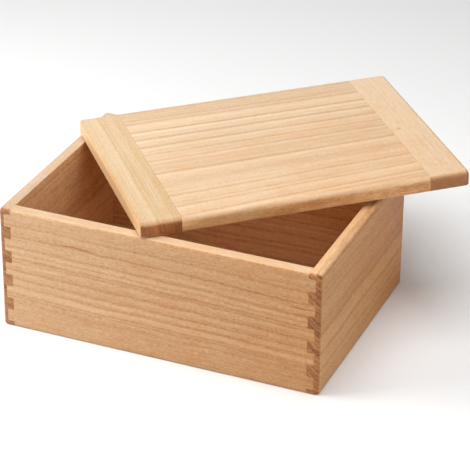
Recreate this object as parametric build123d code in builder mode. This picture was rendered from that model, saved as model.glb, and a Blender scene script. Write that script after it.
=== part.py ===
from build123d import *
from math import asin, degrees
import os

# Photo storage box: a finger-jointed wooden box with a loose, clamped-end lid lying askew on it.
# Millimetres. +Z is up, +X runs along the front, +Y runs from front to back.
# The origin is the centre of the box's underside.

# Box
BOX_W = 309.0        # along the front
BOX_D = 220.0        # front to back
BOX_H = 120.0
WALL = 11.5          # thickness of the four wall boards
CORNER_R = 4.0       # rounding of the standing corners
RIM_R = 3.0          # rounding of the rim's outer edge
RIM_INNER_R = 0.6    # easing of the rim's inner edge
FOOT_R = 2.0         # rounding of the bottom edge

# Lapped finger joint at each corner
LAP = 5.0            # strip of side board that hides the finger ends from the side
END_BLOCK = 5.0      # half-size block at the top and the bottom of the joint
FINGERS = 5          # fingers on each end of the front and the back board

# Bottom panel
BOTTOM_T = END_BLOCK
REBATE = 6.0         # how far the bottom panel reaches into the walls

# Lid
LID_T = 15.0
LID_FRONT_R = 6.0    # rounded-over front edge
LID_EDGE_R = 3.5     # rounding of the other upper edges and of the standing corners
LID_FOOT_R = 2.0     # lower edge
CLEAT_W = 38.0       # end clamp, across the grain of the panel
TONGUE_T = 5.0
TONGUE_L = 12.0
TONGUE_STOP = 15.0   # the tongue stops this far from the lid's front and back edges
GROOVE_GAP = 0.5     # room left beyond the tongue's end and at its two stops
BATTEN_T = 6.0
BATTEN_IN = 110.0    # inner edge of a batten, from the lid's centre
BATTEN_OUT = 142.0   # outer edge, just inside the walls when the lid is closed
BATTEN_GAP = 1.5     # play at each end of a batten when the lid is closed
BATTEN_R = 1.0

# How the lid lies: turned on the box, its left end on the front and left rims,
# its right-hand batten on the rim's back right corner
LID_X = 33.2
LID_Y = 71.7
LID_TURN = 40.3
REST_GAP = 0.1       # hairline gap left at the places where the lid rests
LID_TILT = degrees(asin(BATTEN_T / (BOX_W / 2 + BATTEN_IN)))

# Sizes that follow
HALF_W = BOX_W / 2
HALF_D = BOX_D / 2
IN_W = HALF_W - WALL
IN_D = HALF_D - WALL
FINGER_H = (BOX_H - 2 * END_BLOCK) / (2 * FINGERS - 1)
FINGER_L = WALL - LAP
CLEAT_IN = HALF_W - CLEAT_W
BATTEN_LEN = 2 * (IN_D - BATTEN_GAP)

os.makedirs("parts", exist_ok=True)

# %% The box's outline
# The walls and the bottom are cut from this one rounded block, so that the roundings
# run smoothly across the joints.
with BuildPart() as box_outline:
    Box(BOX_W, BOX_D, BOX_H, align=(Align.CENTER, Align.CENTER, Align.MIN))
    fillet(box_outline.edges().filter_by(Axis.Z), CORNER_R)
    fillet(box_outline.faces().sort_by(Axis.Z)[-1].edges(), RIM_R)
    fillet(box_outline.faces().sort_by(Axis.Z)[0].edges(), FOOT_R)
    Box(2 * IN_W, 2 * IN_D, BOX_H, align=(Align.CENTER, Align.CENTER, Align.MIN), mode=Mode.SUBTRACT)
    rim_inner_edges = (
        box_outline.edges()
        .filter_by(lambda e: e.center().Z > BOX_H - 0.01)
        .filter_by(lambda e: abs(e.center().X) < IN_W + 0.01 and abs(e.center().Y) < IN_D + 0.01)
    )
    fillet(rim_inner_edges, RIM_INNER_R)

# Room for the bottom panel, let into the lower edge of all four walls
with BuildPart() as bottom_room:
    Box(
        2 * (IN_W + REBATE),
        2 * (IN_D + REBATE),
        BOTTOM_T,
        align=(Align.CENTER, Align.CENTER, Align.MIN),
    )

# The fingers of the front and the back board: every other level, starting above the end block
finger_heights = [END_BLOCK + (2 * i + 0.5) * FINGER_H for i in range(FINGERS)]
finger_x = IN_W + FINGER_L / 2
finger_y = HALF_D - WALL / 2


# %% Front and back boards
# Their ends carry the fingers, which stop LAP short of the side faces.
def long_board(side):
    """The front board (side -1) or the back board (side 1)."""
    with BuildPart() as board:
        with Locations((0, side * finger_y, 0)):
            Box(2 * IN_W, WALL, BOX_H, align=(Align.CENTER, Align.CENTER, Align.MIN))
        fingers = [(x, side * finger_y, z) for x in (-finger_x, finger_x) for z in finger_heights]
        with Locations(fingers):
            Box(FINGER_L, WALL, FINGER_H)
        add(bottom_room.part, mode=Mode.SUBTRACT)
        add(box_outline.part, mode=Mode.INTERSECT)
    return board


front_board = long_board(-1)
front_board.part.label = "front_board"
export_step(front_board.part, "parts/front_board.step")

back_board = long_board(1)
back_board.part.label = "back_board"
export_step(back_board.part, "parts/back_board.step")


# %% Side boards
# They run the full depth of the box. Sockets in both ends take the fingers, and the
# blocks between the sockets show their end grain on the front and on the back.
def side_board(side):
    """The left side board (side -1) or the right one (side 1)."""
    with BuildPart() as board:
        with Locations((side * (HALF_W - WALL / 2), 0, 0)):
            Box(WALL, BOX_D, BOX_H, align=(Align.CENTER, Align.CENTER, Align.MIN))
        sockets = [(side * finger_x, y, z) for y in (-finger_y, finger_y) for z in finger_heights]
        with Locations(sockets):
            Box(FINGER_L, WALL, FINGER_H, mode=Mode.SUBTRACT)
        add(bottom_room.part, mode=Mode.SUBTRACT)
        add(box_outline.part, mode=Mode.INTERSECT)
    return board


left_side_board = side_board(-1)
left_side_board.part.label = "left_side_board"
export_step(left_side_board.part, "parts/left_side_board.step")

right_side_board = side_board(1)
right_side_board.part.label = "right_side_board"
export_step(right_side_board.part, "parts/right_side_board.step")

# %% Bottom panel
# A thin panel flush with the walls' lower edges.
with BuildPart() as bottom_panel:
    add(bottom_room.part)
bottom_panel.part.label = "bottom_panel"
export_step(bottom_panel.part, "parts/bottom_panel.step")

# %% The lid's own plane
# X runs along the lid's length and Y towards its back. The plane is the lid's underside,
# tilted about the lower edge of its left end.
turned = Location((LID_X, LID_Y, BOX_H + REST_GAP), (0, 0, LID_TURN))
tilted = Location((-HALF_W, 0, 0), (0, -LID_TILT, 0))
lid_plane = Plane(turned * tilted * Location((HALF_W, 0, 0)))

# The lid's outline, as long and as deep as the box. It is made flat, and each board that is
# cut from it is built on the lid's own plane.
with BuildPart() as lid_outline:
    Box(BOX_W, BOX_D, LID_T, align=(Align.CENTER, Align.CENTER, Align.MIN))
    front_edge = lid_outline.faces().sort_by(Axis.Z)[-1].edges().sort_by(Axis.Y)[0]
    fillet(front_edge, LID_FRONT_R)
    underside = lid_outline.faces().sort_by(Axis.Z)[0].edges()
    front_lines = lid_outline.edges().filter_by(Axis.X).filter_by_position(Axis.Y, -HALF_D, 0)
    fillet(lid_outline.edges() - underside - front_lines, LID_EDGE_R)
    fillet(lid_outline.faces().sort_by(Axis.Z)[0].edges(), LID_FOOT_R)

tongue_y = BOX_D - 2 * TONGUE_STOP
tongue_z = LID_T / 2

# %% Lid panel
# The wide middle board, with a stopped tongue on each end.
with BuildPart(lid_plane) as lid_panel:
    Box(2 * CLEAT_IN, BOX_D, LID_T, align=(Align.CENTER, Align.CENTER, Align.MIN))
    with Locations((0, 0, tongue_z)):
        Box(2 * (CLEAT_IN + TONGUE_L), tongue_y, TONGUE_T)
    add(lid_outline.part, mode=Mode.INTERSECT)
lid_panel.part.label = "lid_panel"
export_step(lid_panel.part, "parts/lid_panel.step")


# %% End clamps
# Boards across the panel's ends, their grain running front to back, grooved for the tongues.
def lid_cleat(side):
    """The left end clamp (side -1) or the right one (side 1)."""
    with BuildPart(lid_plane) as cleat:
        with Locations((side * (HALF_W - CLEAT_W / 2), 0, 0)):
            Box(CLEAT_W, BOX_D, LID_T, align=(Align.CENTER, Align.CENTER, Align.MIN))
        groove_l = TONGUE_L + GROOVE_GAP
        with Locations((side * (CLEAT_IN + groove_l / 2), 0, tongue_z)):
            Box(groove_l, tongue_y + 2 * GROOVE_GAP, TONGUE_T, mode=Mode.SUBTRACT)
        add(lid_outline.part, mode=Mode.INTERSECT)
    return cleat


lid_end_cleat_left = lid_cleat(-1)
lid_end_cleat_left.part.label = "lid_end_cleat_left"
export_step(lid_end_cleat_left.part, "parts/lid_end_cleat_left.step")

lid_end_cleat_right = lid_cleat(1)
lid_end_cleat_right.part.label = "lid_end_cleat_right"
export_step(lid_end_cleat_right.part, "parts/lid_end_cleat_right.step")


# %% Battens
# Two flat strips under the lid. Closed, they drop between the walls and keep the lid in place.
def lid_batten(side):
    """The left batten (side -1) or the right one (side 1)."""
    with BuildPart(lid_plane) as batten:
        with Locations((side * (BATTEN_IN + BATTEN_OUT) / 2, 0, 0)):
            Box(
                BATTEN_OUT - BATTEN_IN,
                BATTEN_LEN,
                BATTEN_T,
                align=(Align.CENTER, Align.CENTER, Align.MAX),
            )
        lowest = batten.faces().sort_by(Axis(lid_plane.origin, lid_plane.z_dir))[0]
        fillet(lowest.edges(), BATTEN_R)
    return batten


lid_batten_left = lid_batten(-1)
lid_batten_left.part.label = "lid_batten_left"
export_step(lid_batten_left.part, "parts/lid_batten_left.step")

lid_batten_right = lid_batten(1)
lid_batten_right.part.label = "lid_batten_right"
export_step(lid_batten_right.part, "parts/lid_batten_right.step")
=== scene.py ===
# %% [markdown]
# # A wooden photo box with a loose lid
#
# The real object is a plain box for prints: four boards joined by fingers at the corners, a thin
# bottom, and a lid whose wide panel is held flat by a cleat across each end. Nothing is painted or
# screwed. What makes it look real is wood: lines of growth that run along each board, darker end
# grain where a board is cut across, soft rounded edges, and fine seams where boards meet.
#
# The shapes come ready made from the frame. This script gives them wood, seams, light and a camera.

import math
import random

import bpy
from mathutils import Matrix, Vector


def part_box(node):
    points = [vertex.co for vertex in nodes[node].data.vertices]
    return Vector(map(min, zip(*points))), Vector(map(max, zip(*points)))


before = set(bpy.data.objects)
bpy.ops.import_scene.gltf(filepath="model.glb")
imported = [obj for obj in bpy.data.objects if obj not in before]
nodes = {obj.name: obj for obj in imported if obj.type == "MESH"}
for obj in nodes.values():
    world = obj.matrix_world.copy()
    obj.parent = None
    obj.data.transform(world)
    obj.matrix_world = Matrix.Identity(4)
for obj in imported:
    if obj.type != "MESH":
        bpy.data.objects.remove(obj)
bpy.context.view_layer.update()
print("boards:", ", ".join(sorted(nodes)))

# %% [markdown]
# ## Sizes
#
# The frame gives the bounds of each board, so the sizes of the box are read from it. The lid lies
# turned and tilted, and its bounds don't tell how, so the way it lies is named here: its left end
# rests on the box, and one of the battens under it lifts the rest. From that comes one matrix, which
# places a pattern on the lid as the joiner would see it on the bench.

# %% Sizes of the box and place of the lid
MM = 0.001
box_low, box_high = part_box("left_side_board")
BOX_H = box_high.z
HALF_W = -box_low.x
HALF_D = box_high.y
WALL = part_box("front_board")[1].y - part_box("front_board")[0].y
LID_T = 15 * MM
BATTEN_T = 6 * MM
BATTEN_IN = 110 * MM  # from the middle of the lid to the inner edge of a batten

LID_X = 33.2 * MM
LID_Y = 71.7 * MM
LID_TURN = math.radians(40.3)
LID_TILT = math.asin(BATTEN_T / (HALF_W + BATTEN_IN))
REST_GAP = 0.1 * MM

lid_frame = (
    Matrix.Translation((LID_X, LID_Y, BOX_H + REST_GAP))
    @ Matrix.Rotation(LID_TURN, 4, "Z")
    @ Matrix.Translation((-HALF_W, 0, 0))
    @ Matrix.Rotation(-LID_TILT, 4, "Y")
    @ Matrix.Translation((HALF_W, 0, 0))
)
print("lid centre", [round(v, 4) for v in lid_frame.translation])

# %% [markdown]
# ## Camera
#
# A long lens from far away, as for a catalogue: upright edges stay nearly parallel, and the near
# corner doesn't loom as it would through a wide lens. The camera looks down from the front right. It
# could be aimed by a Track To constraint, but three directions worked out in Python also give its
# small roll. It is aimed at the middle of the box, then slid sideways and up a little, which frames
# the box without a lens shift.

# %% Camera
VIEW_AZIMUTH = math.radians(22.66)
VIEW_ELEVATION = math.radians(28.50)
VIEW_ROLL = math.radians(0.48)
VIEW_DISTANCE = 2.036
SLIDE_RIGHT = 26.7 * MM
SLIDE_UP = 10.04 * MM
LENS = 169.14
SENSOR_WIDTH = 36

back = Vector((
    math.sin(VIEW_AZIMUTH) * math.cos(VIEW_ELEVATION),
    -math.cos(VIEW_AZIMUTH) * math.cos(VIEW_ELEVATION),
    math.sin(VIEW_ELEVATION),
))
level_right = Vector((math.cos(VIEW_AZIMUTH), math.sin(VIEW_AZIMUTH), 0))
level_up = back.cross(level_right)
right = math.cos(VIEW_ROLL) * level_right + math.sin(VIEW_ROLL) * level_up
up = math.cos(VIEW_ROLL) * level_up - math.sin(VIEW_ROLL) * level_right

camera_data = bpy.data.cameras.new("camera")
camera_data.lens = LENS
camera_data.sensor_width = SENSOR_WIDTH
camera = bpy.data.objects.new("camera", camera_data)
middle = Vector((0, 0, BOX_H / 2))
camera.matrix_world = (
    Matrix.Translation(middle + VIEW_DISTANCE * back + SLIDE_RIGHT * right + SLIDE_UP * up)
    @ Matrix((right, up, back)).transposed().to_4x4()
)
bpy.context.scene.collection.objects.link(camera)
bpy.context.scene.camera = camera
bpy.context.scene.view_settings.view_transform = "Standard"
print("camera at", [round(v, 3) for v in camera.location])

# %% [markdown]
# ## Light
#
# Catalogue light is soft and comes from all round. A wide lamp straight above lights the lid and
# the rims. A lamp near the front left corner lights the front and lets it fall off towards the
# right. A big, weak lamp at the front right fills the shade, so the right side and the lid's front
# edge still show their wood, and the pale room softens what is left. Lamps placed by angle and
# distance can be moved round the box one at a time, and large squares give the soft shadows that a
# point lamp can't.

# %% Lamps and room
def soft_lamp(name, azimuth, height, distance, size, power):
    """A square lamp that shines at the middle of the box. Its angles are in degrees."""
    data = bpy.data.lights.new(name, "AREA")
    data.shape = "SQUARE"
    data.size = size
    data.energy = power
    towards = Vector((
        math.cos(math.radians(azimuth)) * math.cos(math.radians(height)),
        math.sin(math.radians(azimuth)) * math.cos(math.radians(height)),
        math.sin(math.radians(height)),
    ))
    lamp = bpy.data.objects.new(name, data)
    lamp.matrix_world = (
        Matrix.Translation(middle + distance * towards)
        @ towards.to_track_quat("Z", "Y").to_matrix().to_4x4()
    )
    bpy.context.scene.collection.objects.link(lamp)
    print(name, "gives", power, "W")


soft_lamp("top_lamp", azimuth=220, height=88, distance=1.7, size=1.4, power=24)
soft_lamp("side_lamp", azimuth=205, height=35, distance=1.1, size=0.7, power=9.5)
soft_lamp("fill_lamp", azimuth=326, height=37, distance=2.0, size=1.6, power=13)

room = bpy.data.worlds.new("room")
room.use_nodes = True
room_light = room.node_tree.nodes["Background"]
room_light.inputs["Color"].default_value = (1.0, 0.99, 0.97, 1)
room_light.inputs["Strength"].default_value = 0.13
bpy.context.scene.world = room

# %% [markdown]
# ## Shader maths
#
# A material is a web of nodes. They could be written out one by one, but a hundred such lines hide
# what is meant. So one small class wraps an output socket and lets Python's operators add the Math
# nodes: `1 - mask * 0.5` reads as what it does. Every other node comes from its `node` method.

# %% A wire that can calculate
class Wire:
    """An output socket of a node tree. Wire(tree) alone has no socket, and only makes nodes."""

    def __init__(self, tree, socket=None):
        self.tree = tree
        self.socket = socket

    def node(self, kind, settings=None, inputs=None, output=0):
        """Adds a node: first its settings, then the value or the wire of each of its inputs."""
        made = self.tree.nodes.new(kind)
        for name, setting in (settings or {}).items():
            if name == "points":
                fill_curve(made.mapping, setting)
            else:
                setattr(made, name, setting)
        for name, value in (inputs or {}).items():
            if isinstance(value, Wire):
                self.tree.links.new(value.socket, made.inputs[name])
            else:
                made.inputs[name].default_value = value
        return Wire(self.tree, made.outputs[output])

    def maths(self, operation, *values):
        return self.node("ShaderNodeMath", {"operation": operation}, dict(enumerate(values)))

    def __add__(self, other):
        return self.maths("ADD", self, other)

    def __sub__(self, other):
        return self.maths("SUBTRACT", self, other)

    def __mul__(self, other):
        return self.maths("MULTIPLY", self, other)

    def __truediv__(self, other):
        return self.maths("DIVIDE", self, other)

    def __rsub__(self, other):
        return self.maths("SUBTRACT", other, self)

    def __abs__(self):
        return self.maths("ABSOLUTE", self)

    __radd__ = __add__
    __rmul__ = __mul__

    def fade(self, start, end):
        """0 below start, 1 past end, and a smooth change between them. start may be the higher."""
        return self.node(
            "ShaderNodeMapRange",
            {"interpolation_type": "SMOOTHSTEP"},
            {"Value": self, "From Min": start, "From Max": end},
        )

    def mix(self, low, high, blend="MIX"):
        """The colour low where this wire is 0, and high where it is 1. Of a Mix node's sockets,
        0 is the factor, 6 and 7 are the two colours, and output 2 is the colour it gives."""
        return self.node(
            "ShaderNodeMix",
            {"data_type": "RGBA", "blend_type": blend},
            {0: self, 6: low, 7: high},
            output=2,
        )


def fill_curve(mapping, points):
    """Sets a curve node's points. They are (x, y) pairs in 0..1, in order of x."""
    curve = mapping.curves[0]
    while len(curve.points) < len(points):
        curve.points.new(0.5, 0.5)
    for point, place in zip(curve.points, points):
        point.location = place
        point.handle_type = "AUTO_CLAMPED"
    mapping.extend = "HORIZONTAL"
    mapping.update()


print("a wire can add, subtract, multiply and divide")

# %% [markdown]
# ## Wood
#
# Each spring a tree lays down pale, open wood, and each late summer a thin dark line. A board cut
# along the trunk shows those years as long lines, sharp on one side and fading softly on the other.
# Cut across, the same years show as rings in much darker end grain, because the open ends of the
# fibres drink light.
#
# A picture of wood wrapped round a board would break at every edge. So the wood here is solid: every
# point of a board has a place along the grain, across it and down into it, and the years are a
# function of that place. The lines then run over a rounded edge and down the end without a break,
# as they do in a real board.

# %% Places in a board
def board_places(make, bench):
    """Three wires, in millimetres: along the grain, across it and down into the board."""
    coordinates = make.node("ShaderNodeTexCoord", output="Object")
    inside = make.node(
        "ShaderNodeMapping",
        {"vector_type": "TEXTURE"},
        {
            "Vector": coordinates,
            "Location": bench.translation,
            "Rotation": bench.to_euler(),
            "Scale": (MM, MM, MM),
        },
    )
    return [make.node("ShaderNodeSeparateXYZ", None, {0: inside}, output=i) for i in range(3)]


NOISE_GAIN = 2.6


def noise(make, places, size, detail=2.0, seed=0.0):
    """Soft noise from about -1 to 1, whose lumps measure about size millimetres each way. A board
    adds another number to its seed for each of its noises, so that no two of them look alike."""
    along, across, deep = (place / length for place, length in zip(places, size))
    spot = make.node("ShaderNodeCombineXYZ", None, {0: along + seed, 1: across + seed, 2: deep})
    lumps = make.node(
        "ShaderNodeTexNoise", None, {"Vector": spot, "Scale": 1.0, "Detail": detail}
    )
    return (lumps - 0.5) * NOISE_GAIN


print("places in millimetres ready")

# %% [markdown]
# ## Years
#
# The lines of the front board, the lid's panel and its cleats are placed one by one, since the eye
# learns the box by them. The other boards get years at uneven, seeded spacings. The typed places and
# depths, and the bands under them, aren't invented: most were read from the brightness of the real
# boards across their grain. A Wave texture would be quicker, but its lines are evenly spaced and all
# alike. So a float curve turns a place among the years into a tone, with seven points for each line:
# pale wood darkens slowly, the line itself is thin, and right after it comes the palest wood of the
# next spring. A curve is stored as 256 steps, too few for sharp lines over a whole board, so the
# years are shared out over several short curves, and their tones are added.

# %% Years
# One line, read across the grain: millimetres from its middle, and how dark or pale it is there.
LINE_SHAPE = (
    (-1.8, 0.0), (-0.7, -0.5), (0.15, -1.0), (1.0, -0.75), (1.9, 0.0), (3.4, 0.35), (6.5, 0.0),
)
NEXT_LINE_GAP = 1.2
LEAST_STEP = 0.003


def stretches(years, longest=45):
    """The years in groups, none of which is longer than longest millimetres."""
    groups = [[]]
    for year in years:
        if groups[-1] and year[0] - groups[-1][0][0] > longest:
            groups.append([])
        groups[-1].append(year)
    return groups


def year_curve(years, start, end, line_width):
    """Curve points for a few years, between the places start and end. A year is the place of its
    dark line in millimetres, how deep it is, and, where it differs from the others, how wide. Its
    pale spring is cut short where the next line begins."""
    points = [(0.0, 0.5)]
    nexts = [year[0] for year in years[1:]] + [end]
    for (place, depth, *width), next_place in zip(years, nexts):
        for step, share in LINE_SHAPE:
            spot = place + step * (width[0] if width else 1.0) * line_width
            x = (spot - start) / (end - start)
            clear = spot < next_place - NEXT_LINE_GAP
            if clear and points[-1][0] + LEAST_STEP < x < 1 - LEAST_STEP:
                points.append((x, 0.5 + 0.5 * share * depth))
    return points + [(1.0, 0.5)]


def curve_tone(make, place, points, start, end):
    """The tone, from -1 to 1, that a float curve gives to a place between start and end."""
    across = (place - start) / (end - start)
    tone = make.node("ShaderNodeFloatCurve", {"points": points}, {"Value": across})
    return (tone - 0.5) * 2


def uneven_years(first, last, spacing, spread, seed):
    """Years at about even spacing, for a board whose lines have no names."""
    chance = random.Random(seed)
    years = []
    place = first
    while place < last:
        years.append((place, chance.uniform(0.35, 0.9)))
        place += spacing * chance.uniform(1 - spread, 1 + spread)
    return years


print("a line darkens over", -LINE_SHAPE[0][0], "mm")

# %% [markdown]
# ## Growth
#
# The years alone would be ruled lines. Real ones wander over a hand's width, ripple over a few
# millimetres, and fan out where the tree grew thinner. They also lean, since a board is seldom cut
# square to its rings, and the lean shows as slanting rings on the end. Under them lie broad bands,
# where several good or bad summers in a row left paler or browner wood. All of these bend one
# number, a point's place among the years, before it goes into the curves. So lines, bands and fine
# streaks swing together, as they grew together.

# %% Growth
WANDER_LUMPS = (95, 60, 60)
RIPPLE_LUMPS = (11, 4, 4)
YEAR_LUMPS = (170, 9, 9)
CURVE_MARGIN = 8


def growth(make, board, places):
    """Three wires: this point's place among the years, and the tones of its years and its bands,
    both from -1 to 1."""
    along, across, deep = places
    wander = noise(make, places, WANDER_LUMPS, seed=board["seed"]) * board["wander"]
    ripple = noise(make, places, RIPPLE_LUMPS, seed=board["seed"] + 7) * board["ripple"]
    start_slope, slope_gain, slope_bend = board["fan"]
    far = across / 100
    slope = (far * slope_bend + slope_gain) * far + start_slope
    year_place = across - along * slope + deep * board["lean"] + wander + ripple

    tone = noise(make, (along, year_place, deep), YEAR_LUMPS, seed=board["seed"] + 3) * 0.2
    for years in stretches(board["years"]):
        start, end = years[0][0] - CURVE_MARGIN, years[-1][0] + CURVE_MARGIN
        points = year_curve(years, start, end, board["line_width"])
        tone = tone + curve_tone(make, year_place, points, start, end)

    bands = board["bands"]
    start, end = bands[0][0], bands[-1][0]
    points = [((place - start) / (end - start), 0.5 + 0.5 * depth) for place, depth in bands]
    band_tone = curve_tone(make, year_place, points, start, end)
    return year_place, tone, band_tone


print("growth ready")

# %% [markdown]
# ## Cut faces
#
# The same wood looks different on each kind of face. An end that is cut across the grain is darker
# and redder. A long edge has its own tint: richer on the edges of the lid, and paler and less orange
# on the rims of the box, which is partly painted light, since the rims face the lamps above. Its
# rounding is painted lighter or darker again: a painted highlight on the lid's long roundings, and
# painted shade on the roundings of the front, the back and the cleats, against a lamp's highlight.
# And the inside of the box is painted paler: painted light, standing in for light bounced round
# inside the box.
#
# Each kind could be a material of its own on its own faces, but then the colour would jump at a
# line. A face's direction tells which kind it is, so each kind is a mask made from the surface
# normal, and it fades over a rounding as the cut itself does. End grain reaches further round the
# corner to a long edge than over the rounding to the show face. The inside has no direction of its
# own, but it has a depth below the show face, which the solid wood knows.

# %% Face masks
CORNER_REACH = 0.45
NEAR_END_FADE = (0.2, 0.75)
ROUND_FADE = (0.1, 0.6)
# Painted light: over this depth the inside of a board fades into paler colours, which stand in for
# light bounced round inside the box.
INSIDE_BOUNCE_FADE = 0.6


def facing(make, direction):
    """1 where the surface looks along the direction or against it, 0 where it looks sideways."""
    normal = make.node("ShaderNodeTexCoord", output="Normal")
    settings = {"operation": "DOT_PRODUCT"}
    match = make.node("ShaderNodeVectorMath", settings, {0: normal, 1: direction}, output="Value")
    return abs(match)


def face_masks(make, board, deep):
    """Masks for cut ends, the roundings next to them, long edges, their roundings, and the inside of
    a board, which is painted paler as bounced light."""
    grain_direction, side_direction = board["bench"].to_3x3().col[:2]
    to_end = facing(make, grain_direction)
    to_side = facing(make, side_direction)
    edge = to_side.fade(*board["edge_fade"])
    return {
        "end": (to_end * (to_side * CORNER_REACH + 1)).fade(*board["end_fade"]),
        "near_end": to_end.fade(*NEAR_END_FADE),
        "edge": edge,
        "round": to_side.fade(*ROUND_FADE) * (1 - edge),
        # Painted light: the inside mask marks where the paler, bounce-lit colours go.
        "inside": deep.fade(board["bounce_paint_from"], board["bounce_paint_from"] + INSIDE_BOUNCE_FADE) * (1 - edge),
    }


print("masks for ends, edges and the inside ready")

# %% [markdown]
# ## Fine grain and marks
#
# Three textures are finer than a year. Streaks are lines too thin to name, fibres are the short
# threads of the wood, and pores are its open vessels, which gather along each dark line. All three
# are noises stretched along the grain, and since they are laid among the years, they bend with
# them. A tree also leaves a few single marks, such as a dark streak where a twig once sat. Those are
# named one by one.

# %% Fine grain and marks
STREAK_LUMPS = (90, 1.1, 1.1)
FIBRE_LUMPS = (3.6, 0.8, 0.8)
VESSEL_LUMPS = (4.5, 0.4, 0.4)


def fine_grain(make, grained, year):
    """Three wires for the finest detail: streaks, fibres and pores."""
    streaks = noise(make, grained, STREAK_LUMPS, detail=3, seed=3)
    fibres = noise(make, grained, FIBRE_LUMPS, detail=3, seed=11)
    vessels = noise(make, grained, VESSEL_LUMPS, detail=0, seed=29).fade(0.3, 0.65)
    near_line = (0 - year).fade(-0.35, 0.5) * 0.75 + 0.25
    return streaks, fibres, vessels * near_line


def mark_mask(make, along, year_place, mark):
    """A small dark streak: where it is, its half length and half width, and how deep it is."""
    mark_along, mark_across, half_length, half_width, depth = mark
    aside = abs(year_place - mark_across) / half_width
    away = abs(along - mark_along) / half_length
    return (aside + away * away).fade(1.0, 0.15) * depth


print("fibres are", FIBRE_LUMPS[0], "mm long and", FIBRE_LUMPS[1], "mm wide")

# %% [markdown]
# ## Tone
#
# All the tones add up to one number, from dark to pale, and only then become a colour. Mixing a
# colour for each line over the last one would be the other way, but it drifts in hue with every
# layer. One number keeps every line in the same family. Besides years, bands and fine grain, two
# slower tones go into it. Clouds change over a hand's width. Mottle is the shimmer a few
# millimetres wide that a planed board has where its fibres lean towards the light or away from it.

# %% Tone
CLOUD_LUMPS = (80, 30, 30)
MOTTLE_LUMPS = (13, 3.6, 3.6)


def board_tone(make, board, places, masks, grown, grain):
    """All the tones of a board in one wire, from 0 for the darkest to 1 for the palest. grown is
    what growth gives, and grain is what fine_grain gives."""
    along = places[0]
    year_place, year, bands = grown
    streaks, fibres, pores = grain
    clouds = noise(make, places, CLOUD_LUMPS, seed=board["seed"] + 21)
    mottle = noise(make, places, MOTTLE_LUMPS, detail=3, seed=board["seed"] + 45)

    shade = year * (masks["end"] * (board["year_end"] - board["year_face"]) + board["year_face"])
    shade = shade + bands * board["band_depth"] + streaks * board["streaks"]
    shade = shade + fibres * board["fibres"] + clouds * board["clouds"] - pores * board["pores"]
    # Painted light: drift paints the front paler towards the lamp at its left, and the right side
    # darker towards the back, as shade under the lid.
    shade = shade + board["offset"] - along * board["drift"]
    shade = shade + mottle * (masks["edge"] * board["edge_mottle"] + board["mottle"])
    # Painted light on long edges: edge_drift darkens the front rim to the left against the lamp's
    # falloff and the right rim under the lid, and paints the lid's edges paler to the left.
    shade = shade + masks["edge"] * along * board["edge_drift"]
    # Painted light on roundings: above zero a painted highlight, below zero painted shade.
    shade = shade + masks["round"] * board["round_painted_light"]
    for mark in board["marks"]:
        shade = shade - mark_mask(make, along, year_place, mark)
    return make.node("ShaderNodeClamp", None, {0: shade * 0.5 + 0.5})


print("mottle is", MOTTLE_LUMPS[0], "mm long")

# %% [markdown]
# ## Colour
#
# The tone picks a colour between the dark and the pale one of each kind of face, and the masks
# choose among the kinds. Hue also changes by itself, where tone doesn't. That is warmth: a slow
# drift along and across the board, patches as wide as a thumb, and a stronger tint beside a cut
# end, where the open fibres take up more oil. It could be a third colour to mix in. As a tint that
# multiplies, it leaves the lines under it alone.

# %% Colour
WARM_TINT = (1.0, 0.86, 0.70, 1)
WARM_LUMPS = (110, 45, 45)
PATCH_LUMPS = (26, 9, 9)
SLOW_WARMTH = 0.3
END_WARMTH = 1.2


def board_warmth(make, board, places, masks):
    """How far a point's colour is tinted towards orange, from 0 to 1."""
    along, across = places[:2]
    warm_start, warm_along, warm_across = board["warmth"]
    warmth = noise(make, places, WARM_LUMPS, seed=board["seed"] + 33) * SLOW_WARMTH
    patches = noise(make, places, PATCH_LUMPS, seed=board["seed"] + 52)
    warmth = warmth + patches * board["patches"] + masks["near_end"] * END_WARMTH
    warmth = warmth + masks["round"] * board["round_warm"]
    warmth = warmth + along * warm_along + across * warm_across + warm_start
    return make.node("ShaderNodeClamp", None, {0: warmth})


def board_colour(board, masks, tone, warmth):
    """The colour: show face and long edges, tinted, then the inside, painted paler as bounced light,
    and cut ends over all.
    """
    face = tone.mix(board["dark"], board["pale"])
    edge = tone.mix(board["edge_dark"], board["edge_pale"])
    colour = warmth.mix(masks["edge"].mix(face, edge), WARM_TINT, blend="MULTIPLY")
    # Painted light: the inside is mixed towards paler colours, standing in for light bounced inside
    # the box.
    colour = masks["inside"].mix(colour, tone.mix(board["inside_bounce_dark"], board["inside_bounce_pale"]))
    return masks["end"].mix(colour, tone.mix(board["end_dark"], board["end_pale"]))


print("warm patches are", PATCH_LUMPS[0], "mm long")

# %% [markdown]
# ## The wood material
#
# The recipe puts the parts together for one board. Besides its colour, wood has a surface. Open
# grain is a little rougher than smooth wood. Fibres, lines and pores stand in a relief of a few
# hundredths of a millimetre, just enough to break up the light. As real geometry it would take
# millions of faces, so it is a bump.

# %% Wood
SMOOTH = 0.5
BUMP_DEPTH = 0.05 * MM
BUMP_STRENGTH = 0.4


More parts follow.
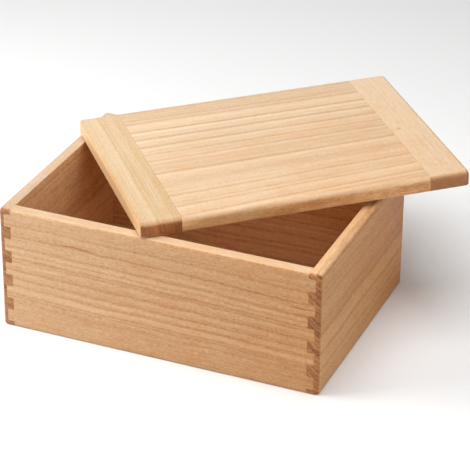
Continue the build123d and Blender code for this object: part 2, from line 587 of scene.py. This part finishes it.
def wood(name, board):
    """A material for one board. board holds its bench frame, its years and its colours."""
    material = bpy.data.materials.new(name)
    material.use_nodes = True
    tree = material.node_tree
    make = Wire(tree)

    places = board_places(make, board["bench"])
    along, across, deep = places
    masks = face_masks(make, board, deep)
    grown = growth(make, board, places)
    year_place, year = grown[:2]
    streaks, fibres, pores = fine_grain(make, (along, year_place, deep), year)
    fibres = fibres * (1 - masks["edge"] * board["edge_calm"])

    tone = board_tone(make, board, places, masks, grown, (streaks, fibres, pores))
    warmth = board_warmth(make, board, places, masks)
    colour = board_colour(board, masks, tone, warmth)
    roughness = masks["end"] * 0.14 + pores * 0.12 + fibres * 0.04 + SMOOTH
    height = fibres * 0.5 + streaks * 0.35 + year * 0.5 - pores
    bump_inputs = {"Strength": BUMP_STRENGTH, "Distance": BUMP_DEPTH, "Height": height}
    bump = make.node("ShaderNodeBump", None, bump_inputs)

    shader = tree.nodes["Principled BSDF"]
    tree.links.new(colour.socket, shader.inputs["Base Color"])
    tree.links.new(roughness.socket, shader.inputs["Roughness"])
    tree.links.new(bump.socket, shader.inputs["Normal"])
    return material


print("wood recipe ready, relief", round(BUMP_DEPTH / MM, 2), "mm")

# %% [markdown]
# ## The boards on the bench
#
# A joiner reads a board lying on the bench with its show face up. So each board has a bench frame:
# X runs along the grain, Y across the board from one edge, and Z down into it from its show face.
# A board could be modelled lying so and then moved into the box, but these are in their places
# already, so the frame goes to the board, inside its material. Two helpers cover them all: one for
# the boards that stand around the box, and one for those that lie flat, as the bottom and the
# pieces of the lid do.

# %% Bench frames
def standing(turn, reach):
    """A board of the box. turn is how far round it stands from the front, in degrees."""
    around = Matrix.Rotation(math.radians(turn), 4, "Z")
    return around @ Matrix.Translation((0, -reach, BOX_H)) @ Matrix.Rotation(-math.pi / 2, 4, "X")


def lying(base, turn, reach, top):
    """A flat board. turn is how far its grain runs from base's X axis, in degrees."""
    around = base @ Matrix.Rotation(math.radians(turn), 4, "Z")
    return around @ Matrix.Translation((0, reach, top)) @ Matrix.Rotation(math.pi, 4, "X")


bottom_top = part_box("bottom_panel")[1].z
print("bottom's show face at", round(bottom_top / MM, 1), "mm")

# %% [markdown]
# ## What all the boards share
#
# All of them are one pale, oiled timber, so they share one set of numbers, and a board names only
# what it has of its own. Wood of one kind still differs from board to board, and that difference is
# what lets the eye read a seam. One material for all would be shorter, but it would put the same
# lines into every board.
#
# A tone runs from -1, the darkest wood, to 1, the palest, and most of these numbers say how much of
# one texture goes into it. `drift` and the last two numbers of `warmth` are changes for each
# millimetre, along the board or across it. `bounce_paint_from` is a depth in millimetres from the
# show
# face: what lies deeper is painted in the paler inside colours, painted light that stands in for
# light bounced round inside the box. `round_painted_light` paints a rounding paler, a painted
# highlight, or darker when it is below zero, painted shade. A fade says where a mask starts and where
# it is full, from 0 for a face that looks sideways to 1 for one that looks straight along the mask's
# direction.
# `edge_calm` quietens the fibres on a long edge, or stirs them up when it is below zero.

# %% Timber
timber = {
    "seed": 0.0,
    # How the years lie.
    "wander": 2.4,
    "ripple": 1.3,
    "fan": (0.0, 0.0, 0.0),
    "lean": 0.35,
    "line_width": 1.0,
    "bands": [(0, 0.0), (120, 0.0)],
    "marks": [],
    # How deep each tone is.
    "year_face": 0.66,
    "year_end": 0.8,
    "band_depth": 1.0,
    "streaks": 0.32,
    "fibres": 0.95,
    "pores": 0.8,
    "clouds": 0.14,
    "mottle": 0.1,
    "offset": 0.0,
    "drift": 0.0,
    # The show face and its hue.
    "dark": (0.425, 0.185, 0.042, 1),
    "pale": (0.745, 0.49, 0.283, 1),
    "patches": 0.3,
    "warmth": (0.3, 0.0, 0.0),
    # Long edges and their roundings. On the rims of the box, the paler, less orange edge colours are
    # partly painted light, since the rims face the lamps above.
    "edge_fade": (0.35, 0.85),
    "edge_dark": (0.50, 0.31, 0.18, 1),
    "edge_pale": (0.80, 0.59, 0.405, 1),
    "edge_calm": 0.5,
    "edge_mottle": 0.0,
    "edge_drift": 0.0,
    "round_painted_light": 0.0,
    "round_warm": 0.0,
    # The inside, painted paler as bounced light.
    "bounce_paint_from": WALL / MM - 0.8,
    "inside_bounce_dark": (0.63, 0.32, 0.14, 1),
    "inside_bounce_pale": (1.0, 0.675, 0.385, 1),
    # Cut ends.
    "end_fade": (0.35, 0.85),
    "end_dark": (0.19, 0.06, 0.016, 1),
    "end_pale": (0.55, 0.23, 0.085, 1),
}
print("shared values:", len(timber))

# %% [markdown]
# ## Front and back boards
#
# The front board's lines run almost level and sink a little to the right. They crowd towards the
# middle of its height, and its lowest quarter is calm. Its left end is yellower than its right, and
# painted paler: painted light from the lamp at the left. Its rim is painted darker towards the left,
# painted shade that evens out that lamp's falloff along it, and its roundings are painted a little
# darker than the rim, painted shade against a lamp's highlight. Two thin dark streaks lie in it, one
# near the left and one at the right end. The left one is two marks, a short one inside a long one,
# so that it fades out slowly. The back board has the same wood and the same painted light and
# shade, but years of its own.

# %% Front and back
front = {
    **timber,
    "bench": standing(0, HALF_D),
    "years": [
        (11.8, 0.2), (16.2, 0.55), (27.6, 0.8), (31.6, 0.2), (39.2, 0.6), (45.5, 0.6, 0.8),
        (50.4, 0.55), (53.5, 0.4, 0.8), (59.5, 0.2), (62.6, 0.6), (69.2, 0.15), (71.6, 0.55),
        (79.3, 0.55), (87.4, 0.5), (90.5, 0.4, 0.8), (96, 0.25), (103, 0.15), (107, 0.15),
        (111, 0.15), (115, 0.2),
    ],
    "bands": [
        (0, 0.2), (6, 0.2), (13, 0.05), (20, 0.08), (26, -0.05), (34, 0.17), (40, 0.0), (44, 0.3),
        (48, 0.28), (51, -0.05), (57, 0.15), (63, -0.08), (67, 0.08), (71, -0.03), (76, 0.12),
        (80, 0.0), (84, 0.32), (88, 0.0), (97, -0.1), (105, 0.03), (110, 0.05), (120, -0.12),
    ],
    "fan": (0.014, 0.006, 0.0),
    "ripple": 0.8,
    # Painted light: offset and drift paint the face paler towards the left, where the side lamp
    # stands.
    "offset": 0.09,
    "drift": 0.0019,
    "warmth": (0.45, 0.0033, 0.0),
    "marks": [(-77, 26.6, 24, 1.1, 1.6), (-74, 26.9, 14, 1.0, 0.9), (137, 32.7, 15, 1.1, 1.5)],
    "band_depth": 0.8,
    "streaks": 0.43,
    "mottle": 0.34,
    "patches": 0.5,
    "edge_fade": (0.6, 1.0),
    # Painted shade: the roundings darker against a lamp's highlight, and the rim darker towards the
    # left against the side lamp's falloff. The paler rim colours are partly painted light from above.
    "round_painted_light": -0.35,
    "edge_drift": 0.004,
    "edge_dark": (0.46, 0.285, 0.15, 1),
    "edge_pale": (0.77, 0.575, 0.385, 1),
    "seed": 5.0,
}
back_years = uneven_years(5, 118, spacing=8.5, spread=0.45, seed=4)
back = {**front, "bench": standing(180, HALF_D), "years": back_years, "marks": [], "seed": 55.0}
print("front lines:", len(front["years"]), "back lines:", len(back_years))

# %% [markdown]
# ## Side boards
#
# The side boards are cut so that the years cross their ends at a slant. Their ends show in the
# front and back faces, as dark blocks between the fingers, with rings a few millimetres apart. On
# the broad faces the same years are only faint, close lines, and what shows there are smoky bands,
# which follow the real board's brightness across its grain. That brightness is partly painted
# light: a thin dark band just under the rim and a darker upper half are painted shade under the rim
# and the lid, and the lower half is painted paler. The right side is also painted darker and warmer
# towards the back, and its rim darker there, as painted shade under the lid. The left side copies
# these bands and this drift along its own length. The end could have rings of its own, but these
# are the lines of the broad face running on, so the two agree at the corner.

# %% Sides
right_side = {
    **timber,
    "bench": standing(90, HALF_W),
    "years": uneven_years(-18, 148, spacing=4.2, spread=0.35, seed=7),
    # Painted shade in the bands: a thin dark band just under the rim and a darker upper half, under
    # the lid, and a paler lower half.
    "bands": [
        (0, 0.2), (2, 0.0), (3.8, -1.2), (5.6, 0.1), (7, 0.15), (14, 0.2), (16.3, -0.8), (19, -0.2),
        (27, -0.2), (32, -0.75), (34.5, 0.0), (41, -0.1), (46, -0.3), (50.5, -1.1), (53, -0.45),
        (57, -0.6), (60, -1.3), (62.5, 0.1), (64, 0.35), (68, 0.5), (74, 0.75), (77.5, 0.4),
        (79.7, -0.9), (82, 0.5), (86, 0.45), (88.5, 0.1), (92, 0.75), (96.5, -0.4), (99, 0.7),
        (102, 0.5), (105.5, 0.0), (108, 0.5), (111, 0.5), (120, -0.2),
    ],
    "band_depth": 0.48,
    "lean": 0.92,
    "wander": 3.0,
    "year_face": 0.14,
    "year_end": 0.85,
    "end_fade": (0.1, 0.7),
    "clouds": 0.25,
    "mottle": 0.42,
    "streaks": 0.45,
    "fibres": 1.35,
    "pores": 0.5,
    # Painted shade: drift and warmth make the face darker and warmer towards the back, under the lid.
    "drift": 0.0016,
    "warmth": (0.60, 0.0045, 0.0),
    "dark": (0.435, 0.168, 0.02, 1),
    "pale": (0.70, 0.388, 0.158, 1),
    # Painted shade: the rim darker towards the back, under the lid. Its paler colours are partly
    # painted light from above.
    "edge_drift": -0.004,
    "edge_dark": (0.45, 0.25, 0.120, 1),
    "edge_pale": (0.86, 0.55, 0.305, 1),
    "end_dark": (0.205, 0.063, 0.014, 1),
    "end_pale": (0.61, 0.247, 0.075, 1),
    "seed": 13.0,
}
left_side = {
    **right_side,
    "bench": standing(-90, HALF_W),
    "years": uneven_years(-18, 148, spacing=4.6, spread=0.4, seed=9),
    "lean": -0.3,
    "warmth": (0.4, 0.0, 0.0),
    "year_end": 0.55,
    "dark": (0.425, 0.195, 0.05, 1),
    "pale": (0.71, 0.445, 0.225, 1),
    "edge_drift": 0.0,
    # The paler rim colours are partly painted light from the lamps above.
    "edge_dark": (0.43, 0.29, 0.195, 1),
    "edge_pale": (0.73, 0.57, 0.415, 1),
    "end_dark": (0.25, 0.09, 0.026, 1),
    "end_pale": (0.64, 0.31, 0.12, 1),
    "seed": 17.0,
}
print("rings across the right end:", len(right_side["years"]))

# %% [markdown]
# ## Bottom
#
# A thin panel of the same timber, with its grain along the box. Prints lie on it. All of it takes
# the paler inside colours, painted light that stands in for light bounced round inside the box,
# since the depth where they begin lies above its show face.

# %% Bottom
bottom = {
    **timber,
    # Painted light: the whole panel takes the paler inside colours.
    "bounce_paint_from": -2.0,
    "bench": lying(Matrix.Identity(4), 0, HALF_D, bottom_top),
    "years": uneven_years(5, 215, spacing=11, spread=0.4, seed=12),
    "seed": 31.0,
}
print("bottom lines:", len(bottom["years"]))

# %% [markdown]
# ## The lid's panel
#
# One wide, pale board, which takes none of the paler inside colours on either face. Its lines fan
# out slightly: level at the back edge, and rising to the right at the front edge, as lines do when a
# tree grows thinner upwards. Its edges are a richer orange with livelier fibres, and are painted
# paler towards the left end: painted light, where the side lamp stands. Their roundings are warmer
# than the top, and painted paler: a painted highlight.

# %% Lid panel
lid_panel = {
    **timber,
    "bounce_paint_from": 2 * LID_T / MM,
    "bench": lying(lid_frame, 0, HALF_D, LID_T),
    "line_width": 1.35,
    "year_face": 0.8,
    "years": [
        (5.5, 0.4), (11, 0.25), (16.2, 0.25), (21.2, 0.45), (28.6, 0.45), (41, 0.1), (46.6, 1.0),
        (54.6, 0.3), (62.3, 0.8), (78, 0.75), (86.6, 0.2), (92.8, 0.45), (99, 0.1), (105.8, 0.55),
        (114, 0.25), (122, 0.1), (131, 0.75), (149, 0.15, 2.0), (166, 0.15), (173.2, 0.6),
        (186, 0.2), (192.6, 0.55), (204, 0.1), (208.6, 0.75), (216, 0.3), (222, 0.3),
        (229, 0.3), (234, 0.35), (240, 0.3),
    ],
    "bands": [
        (0, -0.1), (10, -0.05), (20, -0.12), (29, -0.1), (36, 0.25), (44, 0.08), (53, 0.2),
        (62, 0.0), (68, 0.1), (76, -0.05), (86, 0.08), (96, -0.1), (110, 0.0), (116, -0.13),
        (128, -0.15), (138, 0.08), (150, -0.17), (156, -0.15), (164, 0.12), (172, 0.1),
        (186, 0.0), (198, 0.15), (216, 0.03), (222, -0.1), (229, 0.1), (236, -0.1), (245, 0.1),
    ],
    "fan": (0.005, 0.0, -0.0156),
    "wander": 1.3,
    "ripple": 0.8,
    "mottle": 0.27,
    "streaks": 0.3,
    "fibres": 0.6,
    "pores": 0.45,
    "marks": [(-20, 186, 13, 4.0, 0.3)],
    "patches": 0.55,
    "warmth": (-0.1, 0.0014, 0.003),
    "dark": (0.51, 0.32, 0.175, 1),
    "pale": (0.83, 0.64, 0.455, 1),
    "edge_fade": (0.88, 1.0),
    "edge_calm": -0.3,
    # Painted highlight: the roundings of the long edges are painted paler.
    "round_painted_light": 0.4,
    "round_warm": 0.6,
    "edge_mottle": 0.3,
    # Painted light: the edges are painted paler towards the left end, where the side lamp stands.
    "edge_drift": -0.004,
    "edge_dark": (0.545, 0.228, 0.058, 1),
    "edge_pale": (0.96, 0.66, 0.35, 1),
    "end_fade": (0.8, 1.0),
}
print("lid lines:", len(lid_panel["years"]))

# %% [markdown]
# ## The lid's cleats and battens
#
# A cleat crosses each end of the panel, with its grain at right angles to the panel's, and keeps it
# flat. The left one has lines along its length, and rings in its front end. The right one is plain
# and a little pinker, with one small grey spot. Two battens below the lid, which lie between the
# box's walls when it is shut, are cut from the same timber. Each piece here copies another's numbers
# and names only what differs.

# %% Cleats and battens
left_cleat = {
    **lid_panel,
    "bench": lying(lid_frame, 90, HALF_W, LID_T),
    "years": [
        (3, 0.4, 0.8), (7, 0.3, 0.8), (10.5, 0.4, 0.8), (17, 0.8), (21.5, 0.6, 0.8), (24.5, 0.4, 0.7),
        (27.5, 0.6, 0.8), (31, 0.7, 0.8), (34, 0.6, 0.7), (36.5, 0.6, 0.7),
    ],
    "bands": [(0, 0.05), (5, -0.05), (12, 0.22), (20, -0.12), (28, 0.12), (33, -0.1), (38, -0.1)],
    "fan": (0.0, 0.0, 0.0),
    "lean": -0.12,
    "year_face": 0.36,
    "year_end": 0.55,
    "line_width": 1.0,
    "mottle": 0.16,
    "patches": 0.9,
    "warmth": (0.0, -0.0014, 0.003),
    "offset": -0.08,
    "drift": -0.0012,
    "edge_drift": 0.0,
    "edge_mottle": 0.0,
    "marks": [],
    "dark": (0.50, 0.305, 0.125, 1),
    "pale": (0.78, 0.63, 0.46, 1),
    "edge_fade": (0.7, 1.0),
    "edge_calm": 0.5,
    # Painted shade: the roundings along the lid's ends are darker, against the side lamp's highlight.
    "round_painted_light": -0.5,
    "edge_dark": (0.56, 0.33, 0.152, 1),
    "edge_pale": (0.98, 0.665, 0.365, 1),
    "end_fade": (0.82, 1.02),
    "end_dark": (0.20, 0.054, 0.009, 1),
    "end_pale": (0.60, 0.208, 0.052, 1),
    "seed": 41.0,
}
right_cleat = {
    **left_cleat,
    "bench": lying(lid_frame, -90, HALF_W, LID_T),
    "years": [(8, 0.25), (14, 0.2), (19, 0.3), (25, 0.2), (30, 0.25)],
    "bands": [(0, 0.0), (38, 0.0)],
    "lean": 2.2,
    "year_end": 0.35,
    "clouds": 0.15,
    "mottle": 0.28,
    "fibres": 0.65,
    "warmth": (0.0, 0.0018, 0.003),
    "offset": -0.04,
    "drift": 0.0012,
    "marks": [(8, 29.5, 4.2, 3.4, 0.8)],
    "dark": (0.58, 0.372, 0.196, 1),
    "pale": (0.87, 0.683, 0.504, 1),
    "end_fade": (0.4, 1.03),
    "end_dark": (0.22, 0.071, 0.019, 1),
    "end_pale": (0.64, 0.275, 0.098, 1),
    "seed": 47.0,
}
batten_years = uneven_years(-5, 60, spacing=7, spread=0.4, seed=2)
left_batten = {**left_cleat, "years": batten_years, "seed": 61.0}
right_batten = {**right_cleat, "years": batten_years, "marks": [], "seed": 67.0}
print("lines in a batten:", len(batten_years))

# %% [markdown]
# ## Finish each board
#
# Each board now gets a material of its own from the same recipe. It replaces what came with the
# frame.

# %% Finish each board
boards = {
    "lid_panel": lid_panel,
    "lid_end_cleat_left": left_cleat,
    "lid_end_cleat_right": right_cleat,
    "lid_batten_left": left_batten,
    "lid_batten_right": right_batten,
    "front_board": front,
    "back_board": back,
    "left_side_board": left_side,
    "right_side_board": right_side,
    "bottom_panel": bottom,
}
for name, board in boards.items():
    nodes[name].data.materials.clear()
    nodes[name].data.materials.append(wood(name + "_wood", board))
print("boards finished:", len(boards))

# %% [markdown]
# ## Eased edges and seams
#
# A joiner takes the sharpness off every edge with one stroke of fine paper. Where two boards meet
# flush, their two small bevels make a fine groove, and that groove is the seam that the eye sees
# between fingers and along the cleats. A dark line painted in the material would do from afar, but a
# groove also catches the light. The meshes come from the frame as loose triangles, so two modifiers
# lead up to the bevel: Weld joins them, and Decimate makes each flat face one face again. After it,
# Weighted Normal keeps the large faces flat in the light. All four stay live, so the frame's own
# meshes are left as they are.

# %% Ease the edges
EASE = 0.22 * MM


def ease_edges(board_object):
    """Small bevels on all the sharp edges of a board."""
    weld = board_object.modifiers.new("weld", "WELD")
    weld.merge_threshold = 0.002 * MM
    flat = board_object.modifiers.new("flat_faces", "DECIMATE")
    flat.decimate_type = "DISSOLVE"
    flat.angle_limit = math.radians(0.5)
    ease = board_object.modifiers.new("ease", "BEVEL")
    ease.width = EASE
    ease.segments = 2
    ease.limit_method = "ANGLE"
    ease.angle_limit = math.radians(50)
    shading = board_object.modifiers.new("shading", "WEIGHTED_NORMAL")
    shading.weight = 100
    shading.keep_sharp = False


for name in boards:
    ease_edges(nodes[name])
print("edges eased by", round(EASE / MM, 2), "mm")

# %% [markdown]
# ## Floor
#
# A wide pale sheet under the box, as in a small studio. It catches the soft shadow that shows that
# the box stands on something. One square face is enough, since nothing of its edge comes into view.
# It isn't part of the object.

# %% Floor
FLOOR_SIZE = 8.0
half_floor = FLOOR_SIZE / 2
floor_corners = [
    (-half_floor, -half_floor, 0.0),
    (half_floor, -half_floor, 0.0),
    (half_floor, half_floor, 0.0),
    (-half_floor, half_floor, 0.0),
]
floor_mesh = bpy.data.meshes.new("floor")
floor_mesh.from_pydata(floor_corners, [], [(0, 1, 2, 3)])
floor = bpy.data.objects.new("floor", floor_mesh)
bpy.context.scene.collection.objects.link(floor)
floor_paint = bpy.data.materials.new("floor_paint")
floor_paint.use_nodes = True
floor_shader = floor_paint.node_tree.nodes["Principled BSDF"]
floor_shader.inputs["Base Color"].default_value = (0.88, 0.88, 0.88, 1)
floor_shader.inputs["Roughness"].default_value = 0.9
floor_mesh.materials.append(floor_paint)
print("floor:", FLOOR_SIZE, "m wide")

# %% [markdown]

# %% Finish
print("scene ready")
